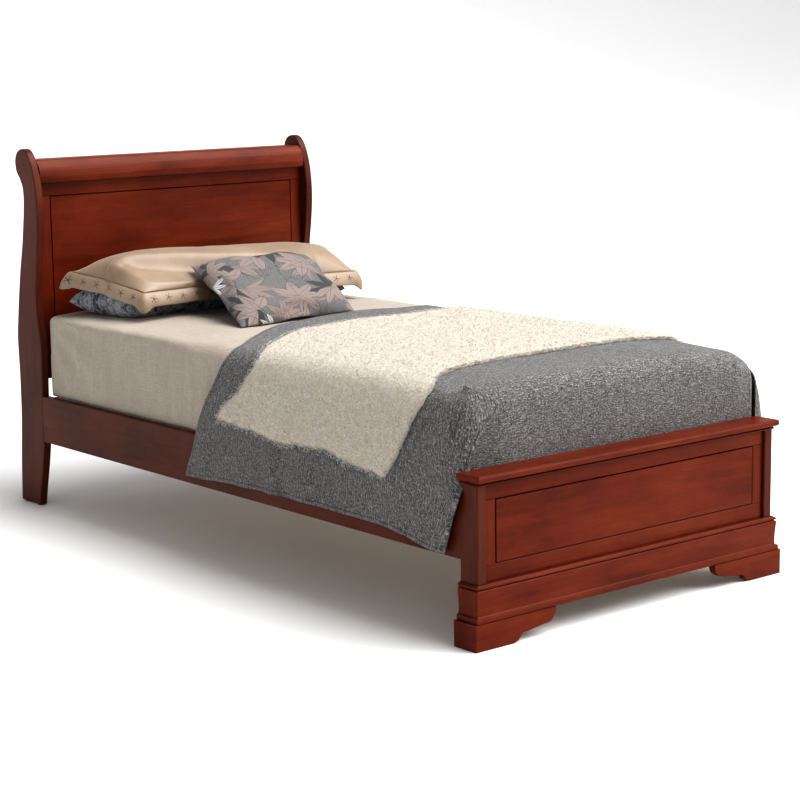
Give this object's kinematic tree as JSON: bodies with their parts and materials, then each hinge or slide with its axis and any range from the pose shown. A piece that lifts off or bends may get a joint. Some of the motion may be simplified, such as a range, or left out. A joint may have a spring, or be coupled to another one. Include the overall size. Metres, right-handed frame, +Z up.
{
  "type": "sleigh bed",
  "caption": "Single sleigh bed: scrolled headboard, low footboard on bracket feet, hook-on rails and slats, dressed with mattress, coverlet, throw and pillows.",
  "frame": {"origin": "on the floor, at the middle of the bed's outline", "axes": "+Z up, +Y from the footboard to the headboard, +X to the right when looking from the foot of the bed towards the headboard"},
  "size_m": [1.08, 2.169, 1.098],
  "materials": {
    "show_wood": "red-brown stained hardwood, satin lacquer",
    "show_wood_side": "the same stain, a little darker, satin lacquer",
    "core_wood": "plain sawn pine, unfinished",
    "steel_hardware": "zinc-plated steel",
    "glide_plastic": "dark moulded plastic",
    "strap_webbing": "flat woven webbing",
    "ticking": "woven mattress ticking",
    "linen_sheet": "smooth greige cotton",
    "woven_coverlet": "heathered charcoal weave",
    "fleece_throw": "cream looped fleece",
    "jacquard_pillow": "blue-grey jacquard with dark lines",
    "sateen_pillow": "tan sateen with a flat border",
    "printed_pillow": "grey cotton with a leaf print"
  },
  "bodies": {
    "bed_frame": {"headboard_post_left": "show_wood_side", "headboard_post_right": "show_wood_side", "headboard_top_rail": "show_wood", "headboard_panel": "show_wood", "headboard_upper_frame_rail": "show_wood", "headboard_lower_frame_rail": "show_wood", "headboard_stile_left": "show_wood", "headboard_stile_right": "show_wood", "headboard_stretcher": "show_wood_side", "headboard_dowels": "core_wood", "headboard_screws": "steel_hardware", "headboard_screw_plugs": "show_wood", "headboard_glides": "glide_plastic", "footboard_post_left": "show_wood_side", "footboard_post_right": "show_wood_side", "footboard_panel": "show_wood", "footboard_upper_frame_rail": "show_wood", "footboard_lower_frame_rail": "show_wood", "footboard_stile_left": "show_wood", "footboard_stile_right": "show_wood", "footboard_cap": "show_wood", "footboard_cap_moulding": "show_wood", "footboard_base_bead": "show_wood", "footboard_apron": "show_wood", "footboard_base_moulding": "show_wood", "bracket_foot_left": "show_wood", "bracket_foot_right": "show_wood", "corner_block_left": "core_wood", "corner_block_right": "core_wood", "footboard_dowels": "core_wood", "footboard_glides": "glide_plastic", "side_rail_left": "show_wood", "side_rail_right": "show_wood", "ledger_left": "core_wood", "ledger_right": "core_wood", "ledger_screws": "steel_hardware", "rail_hook_plates": "steel_hardware", "post_slot_plates": "steel_hardware", "plate_screws": "steel_hardware", "slats": "core_wood", "slat_straps": "strap_webbing"},
    "foundation_body": {"foundation": "ticking"},
    "mattress_body": {"mattress": "ticking", "fitted_sheet": "linen_sheet", "coverlet": "woven_coverlet", "throw_blanket": "fleece_throw"},
    "flat_pillow_body": {"flat_pillow": "jacquard_pillow"},
    "leaning_pillow_body": {"leaning_pillow": "sateen_pillow"},
    "accent_pillow_body": {"accent_pillow": "printed_pillow"}
  },
  "joints": [
    {"name": "foundation_lift", "type": "slide", "parent": "bed_frame", "child": "foundation_body", "axis": [0, 0, 1], "range_m": [0, 0.15]},
    {"name": "mattress_lift", "type": "slide", "parent": "foundation_body", "child": "mattress_body", "axis": [0, 0, 1], "range_m": [0, 0.18]},
    {"name": "flat_pillow_lift", "type": "slide", "parent": "mattress_body", "child": "flat_pillow_body", "axis": [0, 0, 1], "range_m": [0, 0.2]},
    {"name": "leaning_pillow_lift", "type": "slide", "parent": "flat_pillow_body", "child": "leaning_pillow_body", "axis": [0, 0, 1], "range_m": [0, 0.2]},
    {"name": "accent_pillow_lift", "type": "slide", "parent": "leaning_pillow_body", "child": "accent_pillow_body", "axis": [0, 0, 1], "range_m": [0, 0.2]}
  ]
}
